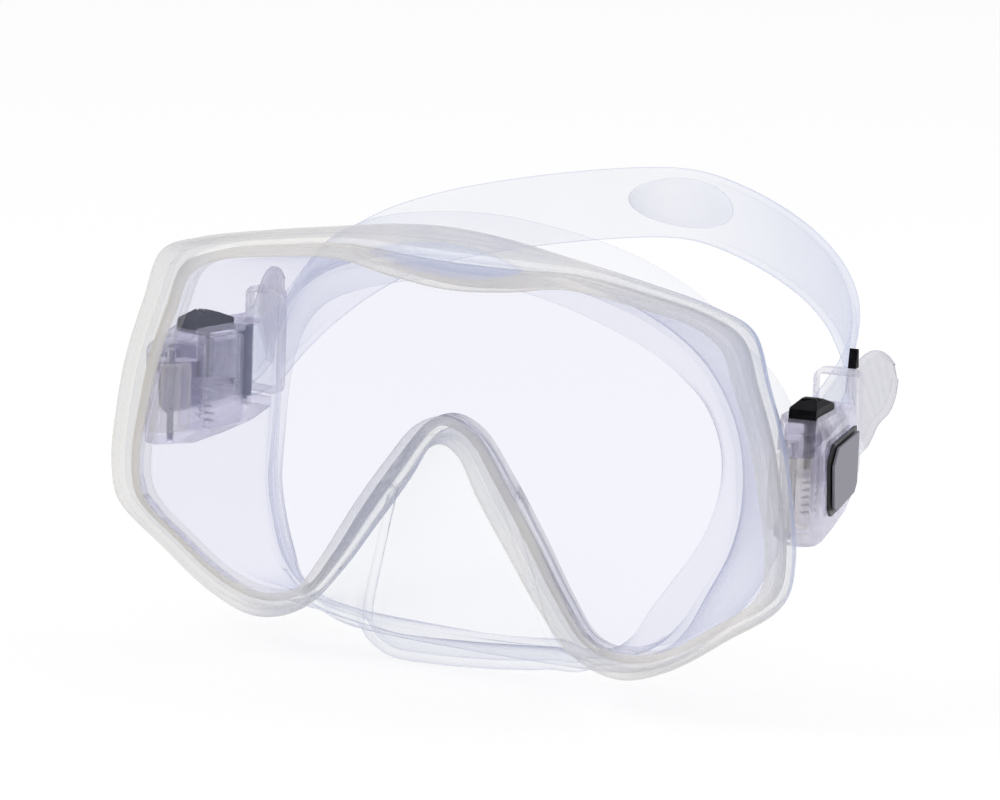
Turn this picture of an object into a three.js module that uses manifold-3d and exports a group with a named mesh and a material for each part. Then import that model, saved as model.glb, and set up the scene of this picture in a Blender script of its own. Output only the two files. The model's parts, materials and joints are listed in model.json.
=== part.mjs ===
// A frameless single-lens diving mask: lens, core frame, silicone skirt with nose pocket, strap, and two
// swivelling buckles. Millimetres, +Z up. The lens's front face lies in the plane Y = 0 and looks along -Y,
// and the mask is symmetric about X = 0. Heights in this file are measured from the swivel pins' middle,
// and the last lines lower the whole mask so that the origin is on the lens, above the nose.
import * as THREE from "three";
import { mergeVertices } from "three/addons/utils/BufferGeometryUtils.js";
import Module from "manifold-3d";

const wasm = await Module();
wasm.setup();

// ---- driving dimensions ------------------------------------------------------------------------------
const GAP = 0.3; // clearance between pieces that touch
const PIN_GAP = 0.15; // clearance of a pin in its hole
const ORIGIN_HEIGHT = 20; // the origin's height above the swivel pins' middle
const LENS_THICKNESS = 4;
const LENS_RIM_DROP = 0.4; // the rim under the silicone is this much lower than the front face
const LENS_EDGE = 0.34; // how far the lens reaches into the bead, as a share of the bead's width
const LENS_FACE = -0.05; // the front face ends this far inside the window lip, as the same share
const LIP_SHARE = [0.15, 0.2]; // the silicone lip over the lens: where its slot and its opening start
const CORE_SHARE = [0.46, 0.74]; // the core frame's inner and outer edge, as shares of the bead's width
const CORE_DEPTH = [0.4, 3.6]; // front and back of the core frame
const BEAD_FRONT = -3.2; // how far the bead stands proud of the lens
const BEAD_BACK = 5.4;
const STATIONS = 36; // stations along half the outline
const WALL = 2; // thickness of the skirt's wall
const LIP = 1; // thickness of the sealing lips at their edge
const PANEL = { half: 19.5, height: 7.4, z: 41.2, floor: -1.7 }; // eye-shaped recess at the bead's top
const BADGE = { halfWidth: 13.4, halfHeight: 5.6, thickness: 0.8 };

const PIN = { x: 77.4, y: 10.6, r: 0.75, bottom: -9.8, top: 10.2 }; // the swivel pin, upright
const BUSH_R = 1.9;
const LUG = { r: 4.6, bottom: -7.5, top: 7.7 };
const LUG_NECK = { inner: -4.2, outer: 2.8, front: 3, bottom: -7, top: 7.2 }; // joins the lug to the bead
const BUCKLE_TURN = THREE.MathUtils.degToRad(9); // each buckle toes in by this much
const STRAP = { width: 16, thickness: 1.8 };
const STRAP_BACK = [102.6, 40.4]; // the band's middle line at the back of the head, in Y and Z

// Buckle pieces are placed in the buckle's own frame: the pin on its Z axis, x outwards, y to the back.
const HOUSING = { inner: -4.5, outer: 6.2, outerBack: 4.4, front: -3.6, back: 28.5, bottom: -11, top: 15 };
const HOUSING_ROUND = { front: 3.5, back: 1.2, taperFrom: 3 }; // corner radii, and where its taper starts
const WORKS = { front: 6.4, back: 19.4, bottom: -8.2, top: 13, outer: 3.4 }; // room for pawl and spring
const CHANNEL = { bottom: -3.2, top: 14.2 }; // the strap's room round the roller
const COVER = { inner: -4.4, outer: -3.5, back: 19, bottom: -7.8, top: 12.6, round: 1.6 };
const AXLE_SEAT = 1.5; // how far the roller's axle goes into the housing's floor
const ROLLER = { x: -0.6, y: 23.5, r: 1.8, axle: 0.9, z: 5.6, height: 16.8 };
const BUTTON = {
  ...{ front: 4.6, back: 17, halfWidth: 3, bottom: 13.5, top: 18.2, travel: 2 },
  ...{ crest: 9, rounding: 1.6, stem: 0.9, ridges: 5, pitch: 2.2 },
};
const PAWL = { y: 16.6, z: 1.6, r: 0.8, arm: 10.4, hub: 1, armHalf: 2.4, toothHalf: 2.8 };
const SPRING = { y: 11.6, r: 1.4, wire: 0.28, turns: 5, bottom: -7.9, top: 0.7 };
const KEEPER = { y: 29.2, depth: 2.4, half: 5.2, bottom: -3, top: 21, bar: 0.7, cap: 1.4 };
const TAPER_LENGTH = HOUSING.back - HOUSING_ROUND.back - HOUSING_ROUND.taperFrom;
const PLATE_TURN = Math.atan2(HOUSING.outer - HOUSING.outerBack, TAPER_LENGTH);

// ---- materials ---------------------------------------------------------------------------------------
const clear = (color, opacity, roughness = 0.1) =>
  new THREE.MeshStandardMaterial({ color, roughness, metalness: 0, transparent: true, opacity });
const solidColour = (color, roughness, metalness = 0) =>
  new THREE.MeshStandardMaterial({ color, roughness, metalness });
const glass = () => clear(0xeef2fa, 0.3, 0.05);
const silicone = () => clear(0xe6e6ea, 0.6, 0.3);
const tintedPlastic = () => clear(0xb9b2c4, 0.6);
const clearPlastic = () => clear(0xdcdce4, 0.6);
const blackPlastic = () => solidColour(0x101012, 0.45);
const steel = () => solidColour(0x8a8a90, 0.3, 1);

// ---- solids ------------------------------------------------------------------------------------------
function toSolid(geometry) {
  const g = geometry.clone();
  for (const name of ["normal", "uv"]) g.deleteAttribute(name);
  const merged = mergeVertices(g, 1e-4);
  const mesh = new wasm.Mesh({
    numProp: 3,
    vertProperties: merged.attributes.position.array,
    triVerts: new Uint32Array(merged.index.array),
  });
  return new wasm.Manifold(mesh);
}

function toGeometry(solid) {
  const { numProp, vertProperties, triVerts } = solid.getMesh();
  if (numProp !== 3) throw new Error("only positions are expected");
  const geometry = new THREE.BufferGeometry();
  geometry.setAttribute("position", new THREE.BufferAttribute(new Float32Array(vertProperties), 3));
  geometry.setIndex(new THREE.BufferAttribute(new Uint32Array(triVerts), 1));
  geometry.computeVertexNormals();
  return geometry;
}

function box(x0, x1, y0, y1, z0, z1) {
  const geometry = new THREE.BoxGeometry(x1 - x0, y1 - y0, z1 - z0);
  return toSolid(geometry.translate((x0 + x1) / 2, (y0 + y1) / 2, (z0 + z1) / 2));
}

function upright(x, y, r, z0, z1, sides = 20) {
  const geometry = new THREE.CylinderGeometry(r, r, z1 - z0, sides).rotateX(Math.PI / 2);
  return toSolid(geometry.translate(x, y, (z0 + z1) / 2));
}

// A prism whose outline is given in X and Z, from y0 to y1.
function prismXZ(points, y0, y1) {
  const shape = new THREE.Shape(points.map(([x, z]) => new THREE.Vector2(x, z)));
  const geometry = new THREE.ExtrudeGeometry(shape, { depth: y1 - y0, bevelEnabled: false });
  return toSolid(geometry.rotateX(Math.PI / 2).translate(0, y1, 0));
}

// A prism whose outline is given in X and Y, from z0 to z1.
function prismXY(points, z0, z1) {
  const shape = new THREE.Shape(points.map(([x, y]) => new THREE.Vector2(x, y)));
  const geometry = new THREE.ExtrudeGeometry(shape, { depth: z1 - z0, bevelEnabled: false });
  return toSolid(geometry.translate(0, 0, z0));
}

// A prism whose outline is given in Y and Z, from x0 to x1.
function prismYZ(points, x0, x1) {
  const shape = new THREE.Shape(points.map(([y, z]) => new THREE.Vector2(y, z)));
  const geometry = new THREE.ExtrudeGeometry(shape, { depth: x1 - x0, bevelEnabled: false });
  geometry.applyMatrix4(new THREE.Matrix4().set(0, 0, 1, 0, 1, 0, 0, 0, 0, 1, 0, 0, 0, 0, 0, 1));
  return toSolid(geometry.translate(x0, 0, 0));
}

// A rectangle with round corners, as points, for the prisms.
function roundRectangle(a0, a1, b0, b1, r, steps = 4) {
  const corners = [
    [a1 - r, b1 - r, 0],
    [a0 + r, b1 - r, 1],
    [a0 + r, b0 + r, 2],
    [a1 - r, b0 + r, 3],
  ];
  return corners.flatMap(([a, b, quarter]) =>
    Array.from({ length: steps + 1 }, (_, i) => {
      const angle = ((quarter + i / steps) * Math.PI) / 2;
      return [a + r * Math.cos(angle), b + r * Math.sin(angle)];
    }),
  );
}

// A solid through closed sections of equal length: a ring when the last joins the first, else a capped rod.
function loft(sections, ring) {
  const n = sections[0].length;
  const positions = sections.flat().flatMap((p) => [p.x, p.y, p.z]);
  const index = [];
  const rows = ring ? sections.length : sections.length - 1;
  for (let i = 0; i < rows; i++)
    for (let j = 0; j < n; j++) {
      const a = i * n + j;
      const b = i * n + ((j + 1) % n);
      const c = ((i + 1) % sections.length) * n + j;
      const d = ((i + 1) % sections.length) * n + ((j + 1) % n);
      index.push(a, b, c, b, d, c);
    }
  if (!ring) {
    const last = (sections.length - 1) * n;
    for (let j = 1; j < n - 1; j++) {
      index.push(0, j + 1, j);
      index.push(last, last + j, last + j + 1);
    }
  }
  const geometry = new THREE.BufferGeometry();
  geometry.setAttribute("position", new THREE.Float32BufferAttribute(positions, 3));
  geometry.setIndex(index);
  const solid = toSolid(geometry);
  if (solid.volume() > 0) return solid;
  for (let i = 0; i < index.length; i += 3) [index[i + 1], index[i + 2]] = [index[i + 2], index[i + 1]];
  geometry.setIndex(index);
  return toSolid(geometry);
}

// ---- rails: curves round the mask, given for X >= 0 from the top centre to the nose's centre -----------
// Each rail holds a point [x, y, z] for each key place. The other half is its mirror image.
const KEYS = [
  // window lip (x, z)  bead's outside (x, z)  fold of the wall  inner lip's edge  outer lip's edge
  [[0, 34.4], [0, 48.3], [0, 12.2, 39], [0, 10, 34.8], [0, 16.5, 48.6]],
  [[14, 35.6], [14, 47.4], [12, 12.2, 38.4], [11, 10.4, 34.2], [14, 16.8, 47.6]],
  [[28, 37.9], [29, 45.1], [24, 12.6, 36.3], [21, 11.2, 32.2], [27.5, 18.4, 45]],
  [[44, 36.5], [46, 42.3], [35.5, 13.9, 32.8], [31.5, 11.8, 29], [37.5, 21, 41.2]],
  [[59.5, 33.6], [63, 38.8], [45, 16, 27.6], [39.8, 14.2, 25], [47, 24, 35.5]],
  [[65.4, 29.8], [72.4, 35], [51, 18.2, 21.8], [46.3, 17.5, 19.7], [55, 27.4, 27]],
  [[68.8, 21.5], [77, 23.2], [55.2, 20.2, 14.5], [51, 21, 13.4], [61.8, 31.8, 18.4]],
  [[72.9, 11], [81, 11], [57.8, 21.8, 6], [53.9, 22.8, 5.4], [64.8, 35.8, 9]],
  [[75.5, 0], [83.3, -1.5], [58.8, 22.1, -2.5], [54.7, 22.8, -2], [65.4, 36.6, -1]],
  [[77.6, -11.5], [84.2, -13.5], [58.8, 21.3, -10], [54.1, 20.8, -9.5], [65, 35.6, -10.5]],
  [[76.5, -20.2], [82.2, -21.8], [57.8, 19, -17.5], [52.4, 17.6, -16.6], [63, 32.4, -20]],
  [[66.2, -28.6], [70.2, -30.8], [54.6, 16.4, -25.8], [48.4, 13.8, -24.5], [58.6, 28.4, -30]],
  [[54.5, -35.6], [56.5, -39.6], [50.8, 15, -33.8], [44.8, 11.6, -30.8], [51.8, 24.4, -38.6]],
  [[44.5, -37.5], [45.2, -43], [45.4, 14.6, -39.4], [42, 10.6, -35.8], [44, 21, -44.2]],
  [[36.6, -35.6], [34.2, -39.8], [38.6, 15.6, -42.6], [37.4, 11.8, -39.8], [37, 19.2, -46.4]],
  [[30.5, -28], [25.4, -31], [30.5, 17.4, -44.6], [30.2, 14, -42], [29, 19, -47.4]],
  [[23, -16], [17, -19.8], [22, 18.8, -45.6], [22, 15.8, -43], [21, 19.8, -48]],
  [[14.6, -4], [9, -8.6], [13.6, 19.8, -46.2], [13.6, 17.2, -43.5], [13.5, 20.7, -48.4]],
  [[7, 4.9], [4.2, -0.6], [6.6, 20.3, -46.4], [6.6, 18, -43.8], [6.6, 21.2, -48.6]],
  [[0, 7.5], [0, 1.4], [0, 20.5, -46.5], [0, 18.2, -43.9], [0, 21.4, -48.7]],
];
const NOSE_FIRST = 14; // the first key place whose wall belongs to the nose pocket
// The nose pocket's front wall, its lower front edge and its bottom, at the key places from NOSE_FIRST on.
const POCKET = [
  [[35.5, 7.8, -40.4], [36.6, 10.8, -41.6], [37.6, 13.4, -42.6]],
  [[28.4, 9, -35], [29.2, 12.4, -40], [30, 15.6, -44.4]],
  [[22.6, 7.8, -29.4], [25, 10.6, -39.6], [25.6, 14.8, -47.8]],
  [[15.8, 6.6, -24.6], [19.4, 8.6, -40.8], [19.6, 13.8, -49.8]],
  [[8, 6.2, -21.5], [10.4, 8.4, -42.8], [10.2, 13.6, -50.6]],
  [[0, 6, -20.6], [0, 8.4, -43.4], [0, 13.6, -50.8]],
];

const point = ([x, ...rest]) => new THREE.Vector3(x, rest.length > 1 ? rest[0] : 0, rest.at(-1));
const blend = (a, b, t) => a.clone().lerp(b, t);
const windowLip = KEYS.map((k) => point(k[0]));
const beadSide = KEYS.map((k) => point(k[1]));
const fold = KEYS.map((k) => point(k[2]));
const innerLip = KEYS.map((k) => point(k[3]));
const outerLip = KEYS.map((k) => point(k[4]));
const wallStart = windowLip.map((p, i) => blend(p, beadSide[i], i < NOSE_FIRST ? 0.14 : 0.5).setY(4.2));
const wallRails = [0, 1, 2].map((step) =>
  wallStart.map((p, i) => {
    if (i >= NOSE_FIRST) return point(POCKET[i - NOSE_FIRST][step]);
    return blend(p, fold[i], (step + 1) / 4);
  }),
);

// A rail's points at evenly spaced stations all the way round.
function stations(rail) {
  const mirrored = rail.slice(1, -1).reverse().map((p) => new THREE.Vector3(-p.x, p.y, p.z));
  const curve = new THREE.CatmullRomCurve3([...rail, ...mirrored], true, "centripetal");
  return Array.from({ length: 2 * STATIONS }, (_, i) => curve.getPoint(i / (2 * STATIONS)));
}

// ---- skirt -------------------------------------------------------------------------------------------
// A sheet of the given thicknesses about the surface through the rails, as a closed ring.
function sheet(rails, thicknesses) {
  const grid = rails.map(stations);
  const count = grid[0].length;
  const normal = (i, j) => {
    const along = grid[j][(i + 1) % count].clone().sub(grid[j][(i + count - 1) % count]);
    const across = grid[Math.min(j + 1, rails.length - 1)][i].clone().sub(grid[Math.max(j - 1, 0)][i]);
    return along.cross(across).normalize();
  };
  const sections = [];
  for (let i = 0; i < count; i++) {
    const sides = [-1, 1].map((side) =>
      grid.map((rail, j) => rail[i].clone().addScaledVector(normal(i, j), (side * thicknesses[j]) / 2)),
    );
    sections.push([...sides[0], ...sides[1].reverse()]);
  }
  return loft(sections, true);
}

// A round ring of the given radius along a rail.
function cordAlong(rail, r) {
  const middle = stations(rail);
  const sides = 8;
  const sections = middle.map((p, i) => {
    const along = middle[(i + 1) % middle.length].clone().sub(middle.at(i - 1)).normalize();
    const back = new THREE.Vector3(0, 1, 0).addScaledVector(along, -along.y).normalize();
    const across = along.clone().cross(back);
    return Array.from({ length: sides }, (_, j) => {
      const angle = (j / sides) * 2 * Math.PI;
      const [y, x] = [r * Math.cos(angle), r * Math.sin(angle)];
      return p.clone().addScaledVector(back, y).addScaledVector(across, x);
    });
  });
  return loft(sections, true);
}

// The bead's section, from its inner front edge round the front, as [share of the width, depth].
const BEAD_SECTION = [
  [0, -0.9],
  [0.2, -2.4],
  [0.48, BEAD_FRONT],
  [0.8, -2.9],
  [0.97, -2],
  [1, -0.8],
  [0.95, 1.2],
  [0.86, 3.4],
  [0.66, BEAD_BACK],
  [0.3, BEAD_BACK],
  [0.02, 4.9],
];

function bead() {
  const inner = stations(windowLip);
  const outer = stations(beadSide);
  return loft(inner.map((p, i) => BEAD_SECTION.map(([t, y]) => blend(p, outer[i], t).setY(y))), true);
}

// A band inside the bead between two shares of its width, grown by the given clearance.
function bandInBead(from, to, y0, y1, grow = 0) {
  const inner = stations(windowLip);
  const outer = stations(beadSide);
  const sections = inner.map((p, i) => {
    const width = p.distanceTo(outer[i]);
    const a = from - grow / width;
    const b = to + grow / width;
    return [
      blend(p, outer[i], a).setY(y0 - grow),
      blend(p, outer[i], b).setY(y0 - grow),
      blend(p, outer[i], b).setY(y1 + grow),
      blend(p, outer[i], a).setY(y1 + grow),
    ];
  });
  return loft(sections, true);
}

const lensOutline = (share) => {
  const outer = stations(beadSide);
  return stations(windowLip).map((p, i) => blend(p, outer[i], share)).map((p) => [p.x, p.z]);
};
// The pane's front face ends at the window lip, and a thinner rim carries on into the bead.
function lensSolid() {
  const pane = prismXZ(lensOutline(LENS_FACE), 0, LENS_THICKNESS);
  return pane.add(prismXZ(lensOutline(LENS_EDGE), LENS_RIM_DROP, LENS_THICKNESS));
}

// The lens's room in the bead, one clearance larger than the lens all round.
function lensRoom() {
  const [slot, opening] = LIP_SHARE;
  const grown = bandInBead(slot, LENS_EDGE, 0, LENS_THICKNESS, GAP);
  return grown.add(prismXZ(lensOutline(opening), -GAP, LENS_THICKNESS + GAP));
}

function panelRecess() {
  const { half, height, z, floor } = PANEL;
  const steps = 12;
  const radius = (half ** 2 + (height / 2) ** 2) / height;
  const reach = Math.asin(half / radius);
  const arc = (sign) =>
    Array.from({ length: steps }, (_, i) => {
      const angle = reach * (1 - (2 * i) / steps);
      const rise = radius * Math.cos(angle) - radius + height / 2;
      return [sign * radius * Math.sin(angle), z + sign * rise];
    });
  return prismXZ([...arc(1), ...arc(-1)], BEAD_FRONT - 1, floor);
}

function lug(side) {
  const { inner, outer, front, bottom, top } = LUG_NECK;
  const [x0, x1] = [side * (PIN.x + inner), side * (PIN.x + outer)].sort((a, b) => a - b);
  const neck = box(x0, x1, front, PIN.y, bottom, top);
  return upright(side * PIN.x, PIN.y, LUG.r, LUG.bottom, LUG.top, 24).add(neck);
}

function skirt() {
  const wall = sheet([wallStart, ...wallRails, fold], [WALL + 0.6, WALL, WALL, WALL, WALL]);
  const inner = sheet([fold, innerLip], [WALL, LIP]);
  const outerMiddle = fold.map((p, i) => blend(p, outerLip[i], 0.5));
  const outer = sheet([fold, outerMiddle, outerLip], [WALL, WALL - 0.5, LIP]);
  let solid = bead().add(wall).add(inner).add(outer).add(cordAlong(fold, WALL * 0.56));
  for (const side of [-1, 1]) {
    solid = solid.add(lug(side));
    solid = solid.subtract(upright(side * PIN.x, PIN.y, BUSH_R + GAP, LUG.bottom - 1, LUG.top + 1));
  }
  solid = solid.subtract(lensRoom()).subtract(panelRecess());
  return solid.subtract(bandInBead(...CORE_SHARE, ...CORE_DEPTH, GAP));
}

// ---- strap -------------------------------------------------------------------------------------------
// A place in a buckle's own frame (x outwards, y to the back), for the right-hand side.
const fromBuckle = (x, y, z) =>
  new THREE.Vector3(x, y, z)
    .applyAxisAngle(new THREE.Vector3(0, 0, 1), BUCKLE_TURN)
    .add(new THREE.Vector3(PIN.x, PIN.y, 0));

// The band's middle line on the right: pull tab, keeper, round the roller, keeper again, round the head.
function strapHalf() {
  const bend = ROLLER.r + GAP + STRAP.thickness / 2;
  const tail = [
    [7.2, 44.6, 15.6],
    [5.6, 40.6, 14],
    [4.2, 37.2, 12.2],
    [2.9, 34, 10],
  ].map((p) => fromBuckle(...p));
  const under = [fromBuckle(ROLLER.x + bend, 30.6, 8.2), fromBuckle(ROLLER.x + bend, 27, 6.4)];
  const over = [fromBuckle(ROLLER.x - bend, 27, 6.3), fromBuckle(ROLLER.x - bend, 30.6, 7.9)];
  const turn = Array.from({ length: 9 }, (_, i) => {
    const angle = (i / 8) * Math.PI;
    return fromBuckle(ROLLER.x + bend * Math.cos(angle), ROLLER.y - bend * Math.sin(angle), ROLLER.z);
  });
  const head = [
    [69, 45, 10.4],
    [68.7, 50.4, 13.6],
    [67.2, 56.4, 18],
    [63.4, 63, 23.4],
    [56.5, 70.4, 29],
    [47, 78.6, 33],
    [35, 87.4, 36],
    [20, 96.2, 38.6],
    [7, 101.6, 40.1],
  ].map(point);
  return [...tail, ...under, ...turn, ...over, ...head];
}

function strapFrames() {
  const half = strapHalf();
  const middle = new THREE.Vector3(0, ...STRAP_BACK);
  const other = half.map((p) => new THREE.Vector3(-p.x, p.y, p.z)).reverse();
  const curve = new THREE.CatmullRomCurve3([...half, middle, ...other], false, "centripetal");
  const steps = 150;
  return Array.from({ length: steps + 1 }, (_, i) => {
    const t = i / steps;
    const at = curve.getPoint(t);
    const along = curve.getTangent(t);
    const up = new THREE.Vector3(0, 0, 1).addScaledVector(along, -along.z).normalize();
    return { at, up, out: along.clone().cross(up).normalize(), fromEnd: Math.min(t, 1 - t) };
  });
}

function strap() {
  const roundEnd = 0.022; // share of the band's length over which its ends are rounded
  const sections = strapFrames().map(({ at, up, out, fromEnd }) => {
    const e = Math.min(fromEnd / roundEnd, 1);
    const half = (STRAP.width / 2) * Math.max(Math.sqrt(1 - (1 - e) ** 2), 0.3);
    return [
      [-1, -1],
      [1, -1],
      [1, 1],
      [-1, 1],
    ].map(([a, b]) =>
      at.clone().addScaledVector(out, (a * STRAP.thickness) / 2).addScaledVector(up, b * half),
    );
  });
  return loft(sections, false);
}

// The oval badge on the outside of the strap, at the back of the head.
function strapBadge() {
  const { halfWidth, halfHeight, thickness } = BADGE;
  const [backY, backZ] = STRAP_BACK;
  const columns = 14;
  const bluntEnd = 0.12; // the least height of its ends, as a share
  const bend = 0.0175; // the band's bend at the back of the head, per millimetre
  const sections = Array.from({ length: columns + 1 }, (_, i) => {
    const x = -halfWidth + (2 * halfWidth * i) / columns;
    const y = backY + STRAP.thickness / 2 + GAP + 0.1 - bend * x * x;
    const h = halfHeight * Math.max(Math.sqrt(1 - (x / halfWidth) ** 2), bluntEnd);
    const corners = [[y, -h], [y + thickness, -h], [y + thickness, h], [y, h]];
    return corners.map(([yy, z]) => new THREE.Vector3(x, yy, backZ + z));
  });
  return loft(sections, false);
}

// ---- buckle pieces -----------------------------------------------------------------------------------
function rod(y, z, r, x0, x1, sides = 16) {
  const geometry = new THREE.CylinderGeometry(r, r, x1 - x0, sides).rotateZ(Math.PI / 2);
  return toSolid(geometry.translate((x0 + x1) / 2, y, z));
}

function housingPlan() {
  const { inner, outer, outerBack, front, back } = HOUSING;
  const { front: big, back: small, taperFrom } = HOUSING_ROUND;
  const bevel = 5.4; // the plan's inner front corner is cut off by this much
  const plan = new THREE.Shape();
  plan.moveTo(inner + bevel, front).lineTo(outer - big, front);
  plan.absarc(outer - big, front + big, big, -Math.PI / 2, 0);
  plan.lineTo(outer, taperFrom).lineTo(outerBack, back - small);
  plan.absarc(outerBack - small, back - small, small, 0, Math.PI / 2);
  plan.lineTo(inner, back).lineTo(inner, front + bevel + 1);
  return plan.getPoints(5).map((p) => [p.x, p.y]);
}

// The outside falls away towards the top, and the top slopes down to the front.
function housingSlopes() {
  const { front, back, top } = HOUSING;
  const outerSlope = [
    [3.3, top],
    [3.3, top + 6],
    [12, top + 6],
    [12, top - 11],
  ];
  const frontSlope = [
    [-9, 8.9],
    [front, 9.4],
    [0.5, 11.5],
    [BUTTON.front + 0.5, top + 0.1],
    [BUTTON.front + 0.5, top + 5],
    [-9, top + 5],
  ];
  return [prismXZ(outerSlope, front - 1, back + 1), prismYZ(frontSlope, -12, 12)];
}

// The underside rises to the back in a long curve.
function housingBelly() {
  const { back, bottom } = HOUSING;
  const outline = [
    [-9, bottom - 4],
    [36, bottom - 4],
    [36, -3],
    [back, -5.4],
    [22, -7.8],
    [12, -9.4],
    [3, -10.4],
    [-9, bottom],
  ];
  return prismYZ(outline, -12, 12);
}

function housing() {
  const { front, back, bottom, top } = HOUSING;
  const reach = 8; // cuts go this far past the inner side
  const lugRoom = LUG.r + GAP;
  const lugHeight = [LUG.bottom - GAP, LUG.top + GAP];
  const wellHalf = BUTTON.halfWidth + GAP;
  const wellFloor = BUTTON.bottom - BUTTON.travel - GAP;
  const strapClimb = { y: 24.2, z: 8 }; // from here on the strap leaves upwards
  const cuts = [
    upright(0, 0, lugRoom, ...lugHeight, 24),
    box(-reach, lugRoom, -reach, 0, ...lugHeight),
    box(-reach, 0, -reach, lugRoom, ...lugHeight),
    upright(0, 0, PIN.r + PIN_GAP, bottom - 1, PIN.top + GAP, 16),
    box(-reach, WORKS.outer, WORKS.front, WORKS.back, WORKS.bottom, WORKS.top),
    box(-reach, WORKS.outer, WORKS.back - 0.1, back + 2, CHANNEL.bottom, CHANNEL.top),
    box(-reach, WORKS.outer, strapClimb.y, back + 2, strapClimb.z, top + 1),
    box(-wellHalf, wellHalf, BUTTON.front - GAP, BUTTON.back + GAP, wellFloor, top + 1),
    upright(ROLLER.x, ROLLER.y, ROLLER.axle + PIN_GAP, CHANNEL.bottom - AXLE_SEAT - GAP, top - GAP, 16),
    rod(PAWL.y, PAWL.z, PAWL.r + PIN_GAP, WORKS.outer - 1, WORKS.outer + 1),
    ...housingSlopes(),
    housingBelly(),
  ];
  const block = prismXY(housingPlan(), bottom - 0.5, top);
  return cuts.reduce((solid, cut) => solid.subtract(cut), block);
}

function cover() {
  const { inner, outer, back, bottom, top, round } = COVER;
  const plate = prismYZ(roundRectangle(WORKS.front + GAP, back, bottom, top, round), inner, outer);
  return plate.subtract(rod(PAWL.y, PAWL.z, PAWL.r + PIN_GAP, inner - 1, outer + 1));
}

// A wedge-shaped key with finger ridges on top, and a stem that presses the pawl's front arm.
function button() {
  const { front, back, halfWidth, bottom, top, crest, rounding, stem, ridges, pitch } = BUTTON;
  const side = [
    [front, bottom],
    [back, bottom],
    [back, top - 2.2],
    [crest + 3, top - 0.3],
    [crest, top],
    [front + 0.4, top - 1.8],
  ];
  const edge = (sign) => {
    const x = sign * halfWidth;
    const corner = [
      [x - sign * rounding, top + 0.1],
      [x + sign, top + 0.1],
      [x + sign, top - rounding - 1],
    ];
    return prismXZ(corner, 0, 30);
  };
  const key = prismYZ(side, -halfWidth, halfWidth).subtract(edge(1)).subtract(edge(-1));
  let solid = key.add(box(-1, 1, PAWL.arm - stem, PAWL.arm + stem, PAWL.z + 1 + GAP, bottom + 0.5));
  for (let i = 0; i < ridges; i++) {
    const groove = new THREE.BoxGeometry(12, 0.7, 1.1).rotateZ(0.55);
    solid = solid.subtract(toSolid(groove.translate(0, front + 2 + pitch * i, top)));
  }
  return solid;
}

// A lever on a cross pin: the button presses its front arm, and its tooth at the back holds the strap.
function pawl() {
  const { y, z, r, arm, hub, armHalf, toothHalf } = PAWL;
  const front = box(-armHalf, armHalf, arm - 1.6, y, z - 0.6, z + 1);
  const tooth = [
    [y - 1, z + 0.8],
    [y + 1.2, z - 0.4],
    [y + 2.5, z + 5.4],
    [y + 1.7, z + 5.8],
    [y - 0.6, z + 2],
  ];
  const lever = rod(y, z, r + hub, -3, 3).add(front).add(prismYZ(tooth, -toothHalf, toothHalf));
  return lever.subtract(rod(y, z, r + 0.12, -4, 4));
}

function spring() {
  const { y, r, wire, turns, bottom, top } = SPRING;
  const perTurn = 10;
  const steps = turns * perTurn;
  const points = Array.from({ length: steps + 1 }, (_, i) => {
    const angle = (i / perTurn) * 2 * Math.PI;
    const z = bottom + wire + (i / steps) * (top - bottom - 2 * wire);
    return new THREE.Vector3(r * Math.cos(angle), y + r * Math.sin(angle), z);
  });
  const corners = [
    [-wire, -wire],
    [wire, -wire],
    [wire, wire],
    [-wire, wire],
  ];
  const section = new THREE.Shape(corners.map(([a, b]) => new THREE.Vector2(a, b)));
  const extrudePath = new THREE.CatmullRomCurve3(points);
  return toSolid(new THREE.ExtrudeGeometry(section, { steps, extrudePath, bevelEnabled: false }));
}

function roller() {
  const { x, y, r, axle, z, height } = ROLLER;
  const barrel = upright(x, y, r, z - height / 2, z + height / 2, 20);
  return barrel.subtract(upright(x, y, axle + 0.12, z - height, z + height, 16));
}

function keeper() {
  const { y, depth, half, bottom, top, bar, cap } = KEEPER;
  const { x } = ROLLER;
  const outside = prismXZ(roundRectangle(x - half, x + half, bottom, top, 2.4), y, y + depth);
  const inside = roundRectangle(x - half + bar, x + half - bar, bottom + cap, top - cap, 1);
  return outside.subtract(prismXZ(inside, y - 1, y + depth + 1));
}

// The small black tab that hangs over the keeper's top.
function strapStop() {
  const z = KEEPER.top + GAP;
  const y = KEEPER.y;
  const side = [
    [y + 0.3, z],
    [y + 2.3, z],
    [y + 1.9, z + 4],
    [y + 1.1, z + 4.2],
  ];
  return prismYZ(side, 1.6, 3.4);
}

// A plate on the housing's outside, in the frame of that face: its outline shrinks by inset.
function sidePlate(x0, x1, inset) {
  const [front, back, low, high] = [-0.4 + inset, 22.6 - inset, -5.8 + inset, 10 - inset];
  const outline = [
    [front + 1.6, low + 1.6],
    [front + 3.6, low],
    [back - 2, low + 1.2],
    [back, low + 3],
    [back, high],
    [front + 3.6, high - 0.4],
    [front, high - 3.6],
  ];
  return prismYZ(outline, x0, x1);
}

// ---- assembly ----------------------------------------------------------------------------------------
function piece(name, solid, material) {
  const mesh = new THREE.Mesh(toGeometry(solid), material);
  mesh.name = name;
  return mesh;
}

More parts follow.
